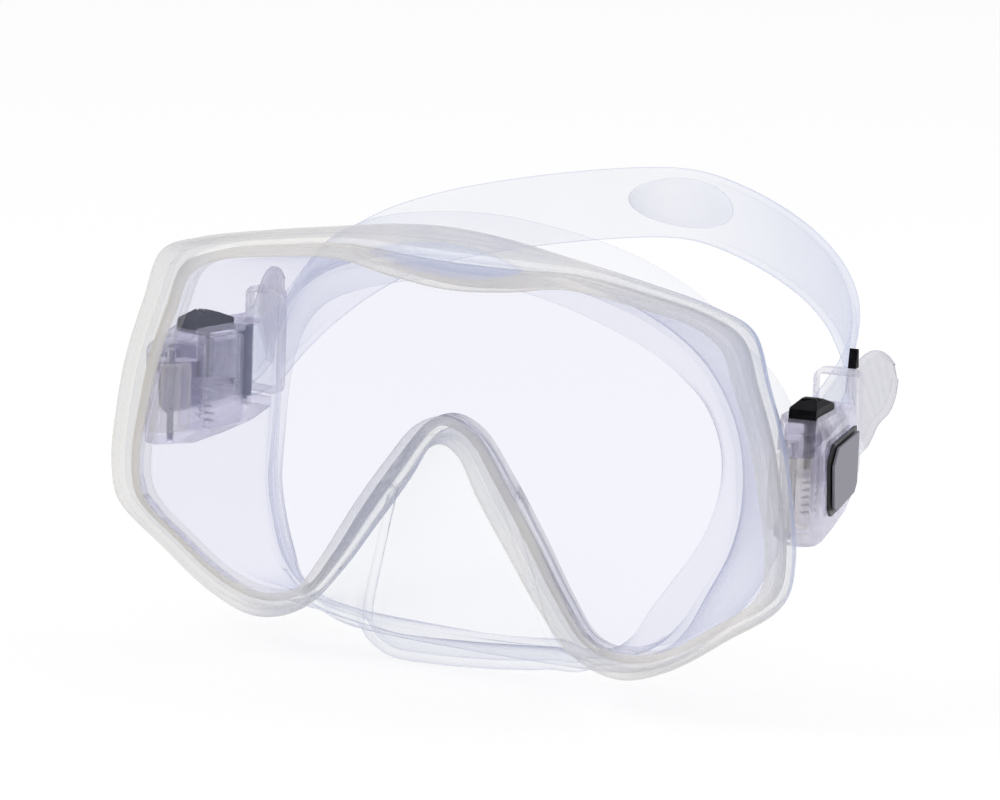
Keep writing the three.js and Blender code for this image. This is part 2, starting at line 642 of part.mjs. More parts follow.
function buckle(side) {
  const word = side < 0 ? "left" : "right";
  const { x, y, axle } = ROLLER;
  const axleFrom = CHANNEL.bottom - AXLE_SEAT;
  const group = new THREE.Group();
  group.add(
    piece(`hinge_pin_${word}`, upright(0, 0, PIN.r, PIN.bottom, PIN.top, 16), steel()),
    piece(`buckle_housing_${word}`, housing(), tintedPlastic()),
    piece(`housing_cover_${word}`, cover(), tintedPlastic()),
    piece(`strap_keeper_${word}`, keeper(), clearPlastic()),
    piece(`roller_axle_${word}`, upright(x, y, axle, axleFrom, HOUSING.top - 0.6, 16), steel()),
    piece(`pawl_pin_${word}`, rod(PAWL.y, PAWL.z, PAWL.r, COVER.inner, WORKS.outer + 0.7), steel()),
    piece(`button_spring_${word}`, spring(), steel()),
    piece(`release_button_${word}`, button(), blackPlastic()),
    piece(`locking_pawl_${word}`, pawl(), tintedPlastic()),
    piece(`strap_roller_${word}`, roller(), solidColour(0x5c5c68, 0.4)),
  );
  if (side > 0) group.add(piece("strap_stop", strapStop(), blackPlastic()));
  const face = new THREE.Group();
  face.add(
    piece(`label_backing_${word}`, sidePlate(GAP, GAP + 0.7, 0), blackPlastic()),
    piece(`label_plate_${word}`, sidePlate(1.3, 1.8, 0.9), solidColour(0x9c9aa6, 0.35, 0.7)),
  );
  face.position.set(HOUSING.outer, HOUSING_ROUND.taperFrom, 0);
  face.rotation.z = PLATE_TURN;
  group.add(face);
  group.rotation.z = BUCKLE_TURN;
  group.position.set(PIN.x, PIN.y, 0);
  const half = new THREE.Group();
  half.scale.x = side;
  half.add(group);
  return half;
}

const mask = new THREE.Group();
mask.position.z = -ORIGIN_HEIGHT;
mask.add(
  piece("lens", lensSolid(), glass()),
  piece("core_frame", bandInBead(...CORE_SHARE, ...CORE_DEPTH), clearPlastic()),
  piece("skirt", skirt(), silicone()),
  piece("strap", strap(), silicone()),
  piece("strap_badge", strapBadge(), clearPlastic()),
);
for (const side of [-1, 1]) {
  const word = side < 0 ? "left" : "right";
  const tube = upright(side * PIN.x, PIN.y, BUSH_R, LUG.bottom, LUG.top, 20);
  const bore = upright(side * PIN.x, PIN.y, PIN.r + 0.12, LUG.bottom - 1, LUG.top + 1, 20);
  mask.add(piece(`lug_bush_${word}`, tube.subtract(bore), clearPlastic()), buckle(side));
}

const divingMask = new THREE.Group();
divingMask.add(mask);

export default divingMask;
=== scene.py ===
# A clear diving mask: silicone skirt, glass lens, strap and swivelling buckles, built round the CAD frame.
# Lengths in the tables and constants are millimetres; every mesh is made in metres.
import json
import math

import bmesh
import bpy
import numpy as np
from mathutils import Matrix, Vector

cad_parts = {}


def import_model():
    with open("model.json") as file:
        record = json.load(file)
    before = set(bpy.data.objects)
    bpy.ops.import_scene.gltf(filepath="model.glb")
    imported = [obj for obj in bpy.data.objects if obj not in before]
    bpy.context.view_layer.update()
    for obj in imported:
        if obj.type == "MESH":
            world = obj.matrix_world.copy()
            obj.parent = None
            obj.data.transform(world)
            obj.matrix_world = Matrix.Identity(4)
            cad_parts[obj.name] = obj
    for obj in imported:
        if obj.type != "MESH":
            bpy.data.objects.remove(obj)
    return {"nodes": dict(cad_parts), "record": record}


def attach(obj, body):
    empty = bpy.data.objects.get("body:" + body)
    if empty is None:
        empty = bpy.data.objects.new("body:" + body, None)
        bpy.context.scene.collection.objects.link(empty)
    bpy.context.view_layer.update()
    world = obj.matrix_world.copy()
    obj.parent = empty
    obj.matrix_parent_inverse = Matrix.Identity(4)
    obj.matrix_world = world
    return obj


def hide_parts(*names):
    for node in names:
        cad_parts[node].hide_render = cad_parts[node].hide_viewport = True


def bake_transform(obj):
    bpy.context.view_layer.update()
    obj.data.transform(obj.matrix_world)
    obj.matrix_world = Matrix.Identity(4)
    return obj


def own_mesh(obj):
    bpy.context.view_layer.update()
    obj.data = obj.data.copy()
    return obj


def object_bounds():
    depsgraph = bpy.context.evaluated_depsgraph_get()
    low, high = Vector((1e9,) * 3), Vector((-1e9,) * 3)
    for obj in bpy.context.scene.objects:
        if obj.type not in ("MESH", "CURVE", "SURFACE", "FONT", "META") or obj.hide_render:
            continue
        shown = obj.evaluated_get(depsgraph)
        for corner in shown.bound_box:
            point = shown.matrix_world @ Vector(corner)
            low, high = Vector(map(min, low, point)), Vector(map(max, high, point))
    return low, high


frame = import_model()
cad_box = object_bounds()
nodes = frame["nodes"]
MM = 0.001
SIDES = {"left": -1, "right": 1}

# ---- driving dimensions, as in the CAD design
ORIGIN_HEIGHT = 20  # the tables' heights are measured from the swivel pins' middle, this far below the origin
PIN_X, PIN_Y = 77.4, 10.6
BUCKLE_TURN = math.radians(9)
WALL = 2.0  # thickness of the skirt's wall
LIP_MIDDLE = 1.5  # thickness of the sealing lips half way to their edge
LIP = 0.9  # thickness of the sealing lips at their edge
LIP_TIP = {"outer": 0.04, "inner": 0.06}  # how far the lips' edges are drawn out, as a share of half a lip
LENS_SHARE = 0.38  # how far the lens slot reaches into the bead, as a share of its width
LENS_FRONT, LENS_BACK = -0.3, 4.3  # front and back of the lens slot
STRAP_WIDTH = 16
STRAP_BACK = (102.6, 40.4)  # the band's middle line at the back of the head, in Y and Z
ROLLER_X, ROLLER_Y, ROLLER_Z, ROLLER_R = -0.6, 23.5, 5.6, 1.8
SPRING = {"y": 11.6, "r": 1.4, "wire": 0.28, "turns": 5, "bottom": -7.9, "top": 0.7}
LUG = {"radius": 4.5, "low": -7.5, "high": 7.7, "bore": 2.1, "web": 0.55, "web_to": 3.4, "web_fade": 2}
BADGE = {"half_width": 13.4, "half_height": 5.6, "stand_off": 1.1, "bend": 0.0175}

# ---- dimensions of what the CAD design leaves plain
STATIONS = 480  # stations round the whole skirt
SPAN_SAMPLES = 30  # samples of a rail between two of its keys
BEAD_FINE, WALL_FINE = 3, 8  # rows made of each step across the bead and across the wall
WALL_START = {"depth": 4.2, "share": 0.14, "nose_share": 0.5}  # where the wall leaves the bead
PANEL = {"half": 19.5, "height": 7.4, "z": 41.2, "depth": 1.2, "edge": 0.5}  # eye-shaped recess at the top
# The nose pocket's ribs: two side ribs that spread downwards and one along the lower edge, all on its front.
RIDGE = {"top_x": 11.4, "top_z": -2.4, "spread": 0.31, "low": -46.0, "half": 1.1, "height": 1.1}
RIDGE_FADE = {"top": 6, "low": 3, "low_to": 24, "behind": 15, "behind_fade": 4}
# The soft pocket's bottom leans to one side by a share of X and hangs a little higher than its keys say.
SAG = {"lean": 0.09, "rise": 1.4, "from": -36, "half": 30, "fade": 12}


# ---- node helpers
class Nodes:
    """The node tree of a new material or world, with short calls for adding and linking nodes."""

    def __init__(self, name, world=False):
        self.owner = (bpy.data.worlds if world else bpy.data.materials).new(name)
        self.owner.use_nodes = True
        self.tree = self.owner.node_tree
        self.tree.nodes.clear()
        self.output = self.add("ShaderNodeOutputWorld" if world else "ShaderNodeOutputMaterial")

    def add(self, kind, inputs=None, **settings):
        node = self.tree.nodes.new(kind)
        for key, value in settings.items():
            setattr(node, key, value)
        for key, value in (inputs or {}).items():
            self.put(node.inputs[key], value)
        return node

    def put(self, socket, value):
        if isinstance(value, bpy.types.NodeSocket):
            self.tree.links.new(value, socket)
        else:
            socket.default_value = value

    def noise(self, scale, detail=2.0):
        place = self.add("ShaderNodeTexCoord").outputs["Object"]
        given = {"Vector": place, "Scale": scale, "Detail": detail}
        return self.add("ShaderNodeTexNoise", given).outputs["Fac"]

    def remap(self, value, low, high, start=0.0, end=1.0):
        given = {"Value": value, "From Min": start, "From Max": end, "To Min": low, "To Max": high}
        return self.add("ShaderNodeMapRange", given).outputs["Result"]

    def math(self, operation, a, b):
        node = self.add("ShaderNodeMath", operation=operation)
        self.put(node.inputs[0], a)
        self.put(node.inputs[1], b)
        return node.outputs[0]

    def ramp(self, value, *stops):
        node = self.add("ShaderNodeValToRGB", {"Fac": value})
        elements = node.color_ramp.elements
        while len(elements) < len(stops):
            elements.new(0.5)
        for element, (position, colour) in zip(elements, stops):
            element.position = position
            element.color = (*colour, 1)
        return node.outputs["Color"]

    def bump(self, height, strength, distance):
        given = {"Height": height, "Strength": strength, "Distance": distance * MM}
        return self.add("ShaderNodeBump", given).outputs["Normal"]

    def surface(self, shader):
        self.put(self.output.inputs["Surface"], shader)
        return self.owner


def inside_panel(n):
    """1 inside the eye-shaped outline at the bead's top and 0 outside it, by the place on the object."""
    place = n.add("ShaderNodeSeparateXYZ", {0: n.add("ShaderNodeTexCoord").outputs["Object"]})
    radius = (PANEL["half"] ** 2 + (PANEL["height"] / 2) ** 2) / PANEL["height"] * MM
    across = n.math("POWER", n.math("ABSOLUTE", place.outputs["X"], 0.0), 2.0)
    arc = n.math("SQRT", n.math("MAXIMUM", n.math("SUBTRACT", radius**2, across), 0.0), 0.0)
    rise = n.math("SUBTRACT", arc, radius - PANEL["height"] / 2 * MM)
    above = n.math("SUBTRACT", place.outputs["Z"], (PANEL["z"] - ORIGIN_HEIGHT) * MM)
    inside = n.math("SUBTRACT", rise, n.math("ABSOLUTE", above, 0.0))
    return n.remap(inside, 0.0, 1.0, -0.1 * MM, 0.2 * MM)


def see_through(name, light, dark, flat, edge, roughness, crisp, recess_shade=None):
    """Clear silicone or plastic: nearly see-through face on, and denser where the surface turns away."""
    n = Nodes(name)
    facing = n.add("ShaderNodeLayerWeight", {"Blend": 0.5}).outputs["Facing"]
    haze = n.remap(n.noise(45), -0.02, 0.02)
    alpha = n.math("ADD", n.remap(n.math("POWER", facing, crisp), flat, edge), haze)
    tint = n.ramp(n.noise(20, 2), (0.42, light), (0.72, dark))
    if recess_shade:
        # inside the eye-shaped recess the colour turns a flat blue-grey: painted shade of the recess
        mixed = n.add("ShaderNodeMix", {0: inside_panel(n), 6: tint, 7: (*recess_shade, 1)}, data_type="RGBA")
        tint = mixed.outputs[2]  # inputs 0, 6 and 7 are the share and the two colours, output 2 the colour
    shader = n.add(
        "ShaderNodeBsdfPrincipled",
        {
            "Base Color": tint,
            "Roughness": n.remap(n.noise(60), roughness - 0.05, roughness + 0.08),
            "IOR": 1.41,
            "Alpha": alpha,
            "Normal": n.bump(n.noise(70, 2), 0.05, 0.1),
        },
    )
    return n.surface(shader.outputs[0])


def lens_glass():
    """Glass thin enough that only its faint tint and its gloss show."""
    n = Nodes("lens_glass")
    clear = n.add("ShaderNodeBsdfTransparent", {"Color": (0.945, 0.945, 0.978, 1)}).outputs[0]
    gloss = n.add("ShaderNodeBsdfGlossy", {"Roughness": 0.02, "Color": (1, 1, 1, 1)}).outputs[0]
    fresnel = n.add("ShaderNodeFresnel", {"IOR": 1.3}).outputs[0]
    share = n.math("MULTIPLY", fresnel, n.remap(n.noise(20), 0.45, 0.55))
    mixed = n.add("ShaderNodeMixShader", {0: share, 1: clear, 2: gloss})
    return n.surface(mixed.outputs[0])


def clear_plastic(name, light, dark, flat):
    """Clear moulded plastic that refracts a part of what is behind it, with a faint flow pattern."""
    n = Nodes(name)
    facing = n.add("ShaderNodeLayerWeight", {"Blend": 0.5}).outputs["Facing"]
    shader = n.add(
        "ShaderNodeBsdfPrincipled",
        {
            "Base Color": n.ramp(n.noise(90), (0.3, light), (0.75, dark)),
            "Roughness": n.remap(n.noise(120), 0.02, 0.07),
            "IOR": 1.34,
            "Transmission Weight": 0.8,
            "Alpha": n.remap(n.math("POWER", facing, 1.4), flat, 0.95),
            "Normal": n.bump(n.noise(160, 2), 0.12, 0.2),
        },
    )
    return n.surface(shader.outputs[0])


BLACK = (0.003, 0.003, 0.004)


def moulded(name, colour, roughness):
    """Opaque moulded plastic with a fine grain."""
    n = Nodes(name)
    worn = tuple(1.5 * c + 0.004 for c in colour)
    shader = n.add(
        "ShaderNodeBsdfPrincipled",
        {
            "Base Color": n.ramp(n.noise(300), (0.3, colour), (0.8, worn)),
            "Roughness": n.remap(n.noise(450, 3), roughness - 0.06, roughness + 0.1),
            "Normal": n.bump(n.noise(1500, 3), 0.12, 0.05),
            "Specular IOR Level": 0.04,
        },
    )
    return n.surface(shader.outputs[0])


def label_backing():
    """Black plastic whose inner face, against the clear housing, is a pale lavender grey."""
    n = Nodes("label_backing")
    normal = n.add("ShaderNodeSeparateXYZ", {0: n.add("ShaderNodeNewGeometry").outputs["Normal"]})
    place = n.add("ShaderNodeSeparateXYZ", {0: n.add("ShaderNodeTexCoord").outputs["Object"]})
    side = n.math("SIGN", place.outputs["X"], 0.0)
    outward = n.remap(n.math("MULTIPLY", normal.outputs["X"], side), 0.0, 1.0, -1.0)
    shader = n.add(
        "ShaderNodeBsdfPrincipled",
        {
            "Base Color": n.ramp(outward, (0.1, (0.5, 0.49, 0.6)), (0.14, BLACK)),
            "Roughness": n.remap(n.noise(450, 3), 0.3, 0.45),
            "Normal": n.bump(n.noise(1500, 3), 0.1, 0.05),
        },
    )
    return n.surface(shader.outputs[0])


def coated_silver():
    """Silver-grey lacquer with a fine fleck."""
    n = Nodes("label_silver")
    fleck = n.noise(2500, 2)
    shader = n.add(
        "ShaderNodeBsdfPrincipled",
        {
            "Base Color": n.ramp(fleck, (0.3, (0.15, 0.145, 0.18)), (0.7, (0.19, 0.18, 0.22))),
            "Metallic": 0.5,
            "Roughness": n.remap(fleck, 0.34, 0.46),
            "Normal": n.bump(fleck, 0.08, 0.03),
        },
    )
    return n.surface(shader.outputs[0])


def steel():
    """Brushed steel."""
    n = Nodes("steel")
    brushed = n.noise(900, 4)
    shader = n.add(
        "ShaderNodeBsdfPrincipled",
        {
            "Base Color": n.ramp(brushed, (0.3, (0.30, 0.30, 0.34)), (0.7, (0.42, 0.42, 0.46))),
            "Metallic": 1.0,
            "Roughness": n.remap(brushed, 0.22, 0.36),
            "Normal": n.bump(brushed, 0.1, 0.03),
        },
    )
    return n.surface(shader.outputs[0])


# Each row: the material's name, its light and dark colour, how dense it is face on and edge on, its
# roughness, and how late it turns dense towards the edge.
CLEAR = {
    "skin": ("silicone_wall", (0.60, 0.63, 0.76), (0.50, 0.54, 0.68), 0.08, 0.77, 0.22, 3.4),
    # the bead's outer side: the bead's silicone with painted shade, darker and bluer with dark streaks
    "bead_side_shade": ("silicone_side_shade", (0.56, 0.56, 0.62), (0.18, 0.25, 0.46), 0.22, 0.87, 0.14, 1.6),
    "lug": ("silicone_lug", (0.90, 0.86, 0.74), (0.82, 0.79, 0.72), 0.12, 0.6, 0.12, 2.4),
    "band": ("silicone_band", (0.52, 0.56, 0.72), (0.42, 0.46, 0.64), 0.085, 0.9, 0.24, 2.7),
    "tab": ("silicone_tab", (0.46, 0.45, 0.53), (0.36, 0.36, 0.44), 0.27, 0.9, 0.16, 2.2),
    "core": ("core_plastic", (0.50, 0.54, 0.66), (0.36, 0.40, 0.54), 0.04, 0.35, 0.1, 2.0),
    "bush": ("bush_plastic", (0.8, 0.8, 0.82), (0.7, 0.7, 0.74), 0.01, 0.2, 0.08, 2.5),
}
BEAD_LOOK = ("silicone_bead", (0.72, 0.695, 0.63), (0.48, 0.50, 0.58), 0.27, 0.92, 0.14, 2.0)
# blue-grey painted inside the recess at the bead's top as its shade
PANEL_SHADE = (0.58, 0.62, 0.76)
MATERIALS = {
    "lens_glass": lens_glass(),
    **{key: see_through(*row) for key, row in CLEAR.items()},
    "bead": see_through(*BEAD_LOOK, recess_shade=PANEL_SHADE),
    "tinted_plastic": clear_plastic("tinted_plastic", (0.80, 0.775, 0.90), (0.60, 0.57, 0.74), 0.34),
    "clear_plastic": clear_plastic("clear_plastic", (0.74, 0.72, 0.78), (0.60, 0.58, 0.66), 0.36),
    "backing": label_backing(),
    "black_plastic": moulded("black_plastic", BLACK, 0.32),
    "grey_plastic": moulded("grey_plastic", (0.10, 0.10, 0.13), 0.4),
    "label_silver": coated_silver(),
    "steel": steel(),
}


# ---- meshes
def make(name, points, faces, material, slots=None, materials=()):
    """A smooth-shaded object in the scene, with a material index per face when more materials are given."""
    mesh = bpy.data.meshes.new(name)
    mesh.from_pydata([tuple(p) for p in points], [], faces)
    for m in (material, *materials):
        mesh.materials.append(m)
    if slots is not None:
        mesh.polygons.foreach_set("material_index", slots)
    mesh.polygons.foreach_set("use_smooth", [True] * len(mesh.polygons))
    b = bmesh.new()
    b.from_mesh(mesh)
    bmesh.ops.recalc_face_normals(b, faces=b.faces)
    b.to_mesh(mesh)
    b.free()
    obj = bpy.data.objects.new(name, mesh)
    bpy.context.scene.collection.objects.link(obj)
    return obj


def loft_faces(rows, width, ring, last_cap=True):
    """Quads between neighbouring rows of points; rows that don't form a ring get a cap at each end."""
    faces = []
    for i in range(rows if ring else rows - 1):
        for j in range(width):
            a, b = i * width + j, i * width + (j + 1) % width
            c, d = ((i + 1) % rows) * width + (j + 1) % width, ((i + 1) % rows) * width + j
            faces.append((a, b, c, d))
    if not ring:
        faces.append(tuple(range(width)))
        if last_cap:
            faces.append(tuple(reversed(range((rows - 1) * width, rows * width))))
    return faces


def catmull_rom(points, closed, per_span):
    """A centripetal Catmull-Rom curve through the points, with per_span samples between neighbours."""
    p = np.asarray(points, float)
    n = len(p)
    if closed:
        padded = np.vstack([p[-1:], p, p[:2]])
    else:
        padded = np.vstack([2 * p[:1] - p[1:2], p, 2 * p[-1:] - p[-2:-1]])
    out = []
    for i in range(n if closed else n - 1):
        a, b, c, d = padded[i : i + 4]
        t = np.cumsum([0, *(max(np.linalg.norm(v), 1e-6) ** 0.5 for v in (b - a, c - b, d - c))])
        for s in np.linspace(t[1], t[2], per_span, endpoint=False):
            ab = a + (b - a) * (s - t[0]) / (t[1] - t[0])
            bc = b + (c - b) * (s - t[1]) / (t[2] - t[1])
            cd = c + (d - c) * (s - t[2]) / (t[3] - t[2])
            abc = ab + (bc - ab) * (s - t[0]) / (t[2] - t[0])
            bcd = bc + (cd - bc) * (s - t[1]) / (t[3] - t[1])
            out.append(abc + (bcd - abc) * (s - t[1]) / (t[2] - t[1]))
    if not closed:
        out.append(p[-1])
    return np.array(out)


# ---- the skirt's rails, given for X >= 0 from the top centre to the nose's centre
KEYS = [
    # window lip (x, z)  bead's outside (x, z)  fold of the wall   inner lip's edge   outer lip's edge
    ((0, 34.4), (0, 48.3), (0, 12.2, 39), (0, 10, 34.8), (0, 16.5, 48.6)),
    ((14, 35.6), (14, 47.4), (12, 12.2, 38.4), (11, 10.4, 34.2), (14, 16.8, 47.6)),
    ((28, 37.9), (29, 45.1), (24, 12.6, 36.3), (21, 11.2, 32.2), (27.5, 18.4, 45)),
    ((44, 36.5), (46, 42.3), (35.5, 13.9, 32.8), (31.5, 11.8, 29), (37.5, 21, 41.2)),
    ((59.5, 33.6), (63, 38.8), (45, 16, 27.6), (39.8, 14.2, 25), (47, 24, 35.5)),
    ((65.4, 29.8), (72.4, 35), (51, 18.2, 21.8), (46.3, 17.5, 19.7), (55, 27.4, 27)),
    ((68.8, 21.5), (77, 23.2), (55.2, 20.2, 14.5), (51, 21, 13.4), (61.8, 31.8, 18.4)),
    ((72.9, 11), (81, 11), (57.8, 21.8, 6), (53.9, 22.8, 5.4), (64.8, 35.8, 9)),
    ((75.5, 0), (83.3, -1.5), (58.8, 22.1, -2.5), (54.7, 22.8, -2), (65.4, 36.6, -1)),
    ((77.6, -11.5), (84.2, -13.5), (58.8, 21.3, -10), (54.1, 20.8, -9.5), (65, 35.6, -10.5)),
    ((76.5, -20.2), (82.2, -21.8), (57.8, 19, -17.5), (52.4, 17.6, -16.6), (63, 32.4, -20)),
    ((66.2, -28.6), (70.2, -30.8), (54.6, 16.4, -25.8), (48.4, 13.8, -24.5), (58.6, 28.4, -30)),
    ((54.5, -35.6), (56.5, -39.6), (50.8, 15, -33.8), (44.8, 11.6, -30.8), (51.8, 24.4, -38.6)),
    ((44.5, -37.5), (45.2, -43), (45.4, 14.6, -39.4), (42, 10.6, -35.8), (44, 21, -44.2)),
    ((36.6, -35.6), (34.2, -39.8), (38.6, 15.6, -42.6), (37.4, 11.8, -39.8), (37, 19.2, -46.4)),
    ((30.5, -28), (25.4, -31), (30.5, 17.4, -44.6), (30.2, 14, -42), (29, 19, -47.4)),
    ((23, -16), (17, -19.8), (22, 18.8, -45.6), (22, 15.8, -43), (21, 19.8, -48)),
    ((14.6, -4), (9, -8.6), (13.6, 19.8, -46.2), (13.6, 17.2, -43.5), (13.5, 20.7, -48.4)),
    ((7, 4.9), (4.2, -0.6), (6.6, 20.3, -46.4), (6.6, 18, -43.8), (6.6, 21.2, -48.6)),
    ((0, 7.5), (0, 1.4), (0, 20.5, -46.5), (0, 18.2, -43.9), (0, 21.4, -48.7)),
]
NOSE_FIRST = 14  # the first key that belongs to the nose pocket
# From that key on, the wall's three points between the bead and the fold.
POCKET = [
    ((35.5, 7.8, -40.4), (36.6, 10.8, -41.6), (37.6, 13.4, -42.6)),
    ((28.4, 9, -35), (29.2, 12.4, -40), (30, 15.6, -44.4)),
    ((22.6, 7.8, -29.4), (25, 10.6, -39.6), (25.6, 14.8, -47.8)),
    ((15.8, 6.6, -24.6), (19.4, 8.6, -40.8), (19.6, 13.8, -49.8)),
    ((8, 6.2, -21.5), (10.4, 8.4, -42.8), (10.2, 13.6, -50.6)),
    ((0, 6, -20.6), (0, 8.4, -43.4), (0, 13.6, -50.8)),
]
# The bead's section as (share of its width, depth), from the lens slot's front round to the wall's outside.
BEAD_FRONT = [
    (0.02, -0.9),
    (0.1, -1.7),
    (0.26, -2.6),
    (0.42, -3.2),
    (0.56, -3.1),
    (0.65, -2.5),
    (0.74, -2.7),
    (0.86, -3),
    (0.96, -2.5),
    (1, -1.4),
    (0.95, 0.2),
    (0.86, 2.2),
    (0.72, 4.2),
    (0.52, 5.4),
]
BEAD_SIDE_FROM = 9  # the point of that section where the bead's outer side begins


def raised(p):
    """A key's point in three dimensions, with heights from the origin."""
    x, *rest = p
    y = rest[0] if len(rest) > 1 else 0
    return np.array([x, y, rest[-1] - ORIGIN_HEIGHT], float)


def refined(rows, per_span):
    """More rows between the given ones, on Catmull-Rom curves that run across them."""
    padded = [2 * rows[0] - rows[1], *rows, 2 * rows[-1] - rows[-2]]
    out = []
    for a, b, c, d in zip(padded, padded[1:], padded[2:], padded[3:]):
        bend, twist = 2 * a - 5 * b + 4 * c - d, 3 * b - 3 * c + d - a
        for t in np.arange(per_span) / per_span:
            out.append((2 * b + (c - a) * t + bend * t**2 + twist * t**3) / 2)
    return [*out, rows[-1]]


def unit(vectors):
    """Each row at length 1."""
    return vectors / np.linalg.norm(vectors, axis=1)[:, None]


def smooth_step(value):
    """0 below 0 and 1 above 1, with a smooth turn between them."""
    v = np.clip(value, 0, 1)
    return v * v * (3 - 2 * v)


def stations(rail):
    """Points evenly spaced in the half rail's own parameter, all the way round it and its mirror image."""
    mirrored = [p * (-1, 1, 1) for p in rail[-2:0:-1]]
    curve = catmull_rom([*rail, *mirrored], True, SPAN_SAMPLES)
    total = len(curve)
    at = np.arange(STATIONS) * total / STATIONS
    low = at.astype(int)
    share = (at - low)[:, None]
    return curve[low] * (1 - share) + curve[(low + 1) % total] * share


def rails():
    """The skirt's rails by name: three on the bead, three across the wall, and the edges of the lips."""
    window = [raised(k[0]) for k in KEYS]
    side = [raised(k[1]) for k in KEYS]
    fold, inner, outer = ([raised(k[j]) for k in KEYS] for j in (2, 3, 4))
    start = []
    for i, (a, b) in enumerate(zip(window, side)):
        share = WALL_START["share" if i < NOSE_FIRST else "nose_share"]
        x, _, z = a + (b - a) * share
        start.append(np.array([x, WALL_START["depth"], z]))
    named = {"window": window, "side": side, "start": start, "fold": fold, "inner": inner, "outer": outer}
    for j in range(3):
        straight = [a + (f - a) * (j + 1) / 4 for a, f in zip(start, fold)]
        named[f"wall{j}"] = straight[:NOSE_FIRST] + [raised(row[j]) for row in POCKET]
    return {name: stations(rail) for name, rail in named.items()}


def offset(path, thickness, sign):
    """The path's rails moved to one side of the sheet they span, by half of the thickness at each."""
    steps = [unit(b - a) for a, b in zip(path, path[1:])]
    out = []
    for j, rail in enumerate(path):
        along = np.roll(rail, -1, axis=0) - np.roll(rail, 1, axis=0)
        across = steps[max(j - 1, 0)] + steps[min(j, len(steps) - 1)]
        out.append(rail + unit(np.cross(along, across)) * (sign * thickness[j] / 2))
    return out


def panel_depth(x, z):
    """How deep the eye-shaped recess at the bead's top is at each point."""
    radius = (PANEL["half"] ** 2 + (PANEL["height"] / 2) ** 2) / PANEL["height"]
    rise = np.sqrt(np.maximum(radius**2 - x**2, 0)) - radius + PANEL["height"] / 2
    inside = rise - abs(z - PANEL["z"])
    return PANEL["depth"] * smooth_step(inside / PANEL["edge"])


def add_ridges(rows):
    """Raises the ribs on the nose pocket's front, and leans the pocket's soft bottom to one side."""
    half = RIDGE["half"]
    for row in rows:
        x, y, z = abs(row[:, 0]), row[:, 1], row[:, 2] + ORIGIN_HEIGHT
        below = RIDGE["top_z"] - z
        beside = x - RIDGE["top_x"] - below * RIDGE["spread"]
        here = smooth_step(below / RIDGE_FADE["top"]) * smooth_step((z - RIDGE["low"]) / RIDGE_FADE["low"])
        side_rib = np.exp(-((beside / half) ** 2)) * here
        inside = smooth_step((RIDGE_FADE["low_to"] - x) / RIDGE_FADE["low"])
        low_rib = np.exp(-(((z - RIDGE["low"] - 1) / half) ** 2)) * inside
        front = smooth_step((RIDGE_FADE["behind"] - y) / RIDGE_FADE["behind_fade"])
        row[:, 1] -= RIDGE["height"] * np.maximum(side_rib, low_rib) * front
        deep = smooth_step((SAG["from"] - z) / SAG["fade"]) * smooth_step((SAG["half"] - x) / SAG["fade"])
        row[:, 2] += deep * (SAG["lean"] * row[:, 0] + SAG["rise"])
    return rows


def across_bead(r, share, depth):
    """The rail at a share of the bead's width, at one depth."""
    rail = r["window"] + (r["side"] - r["window"]) * share
    rail[:, 1] = depth
    return rail


def skirt():
    """Bead, wall, nose pocket and both sealing lips: one closed section swept round all the stations."""
    r = rails()
    bead = []
    for share, depth in refined([np.array(p) for p in BEAD_FRONT], BEAD_FINE):
        rail = across_bead(r, share, depth)
        if depth < 0:
            rail[:, 1] += panel_depth(rail[:, 0], rail[:, 2] + ORIGIN_HEIGHT)
        bead.append(rail)
    corners = ((0.03, LENS_BACK), (LENS_SHARE, LENS_BACK), (LENS_SHARE, LENS_FRONT), (0.05, LENS_FRONT))
    slot = [across_bead(r, share, depth) for share, depth in corners]
    wall = add_ridges(refined([r["start"], *(r[f"wall{j}"] for j in range(3)), r["fold"]], WALL_FINE))
    wall_thickness = refined([WALL + 0.6, WALL, WALL, WALL, WALL], WALL_FINE)
    for rows in (wall, wall_thickness):
        del rows[-3:-1]  # rows closer to the fold than the wall is thick would cross
    outer_middle = (r["fold"] + r["outer"]) / 2
    inner_middle = (r["fold"] + r["inner"]) / 2
    thickness = [*wall_thickness, LIP_MIDDLE, LIP]
    outside = offset([*wall, outer_middle, r["outer"]], thickness, 1)
    inside = offset([*wall, inner_middle, r["inner"]], thickness, -1)
    lips = [r["outer"], outer_middle, r["fold"], inner_middle, r["inner"]]
    back = offset(lips, [LIP, LIP_MIDDLE, WALL, LIP_MIDDLE, LIP], 1)
    outer_tip = r["outer"] + (r["outer"] - outer_middle) * LIP_TIP["outer"]
    inner_tip = r["inner"] + (r["inner"] - inner_middle) * LIP_TIP["inner"]
    section = [*bead, *outside[1:], outer_tip, *back, inner_tip, *reversed(inside[1:]), *slot]
    width = len(section)
    points = np.stack(section, axis=1).reshape(-1, 3) * MM
    faces = loft_faces(STATIONS, width, True)
    column = [0] * width  # each column's material: 0 wall, 1 bead, 2 the bead's outer side, painted darker and bluer as shade
    for j in (*range(len(bead) - 1), *range(width - len(slot), width)):
        column[j] = 2 if BEAD_SIDE_FROM * BEAD_FINE <= j < len(bead) else 1
    slots = [column[k % width] for k in range(len(faces))]
    others = [MATERIALS["bead"], MATERIALS["bead_side_shade"]]
    piece = make("skirt_skin", points, faces, MATERIALS["skin"], slots, others)
    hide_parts("skirt")
    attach(piece, "mask")


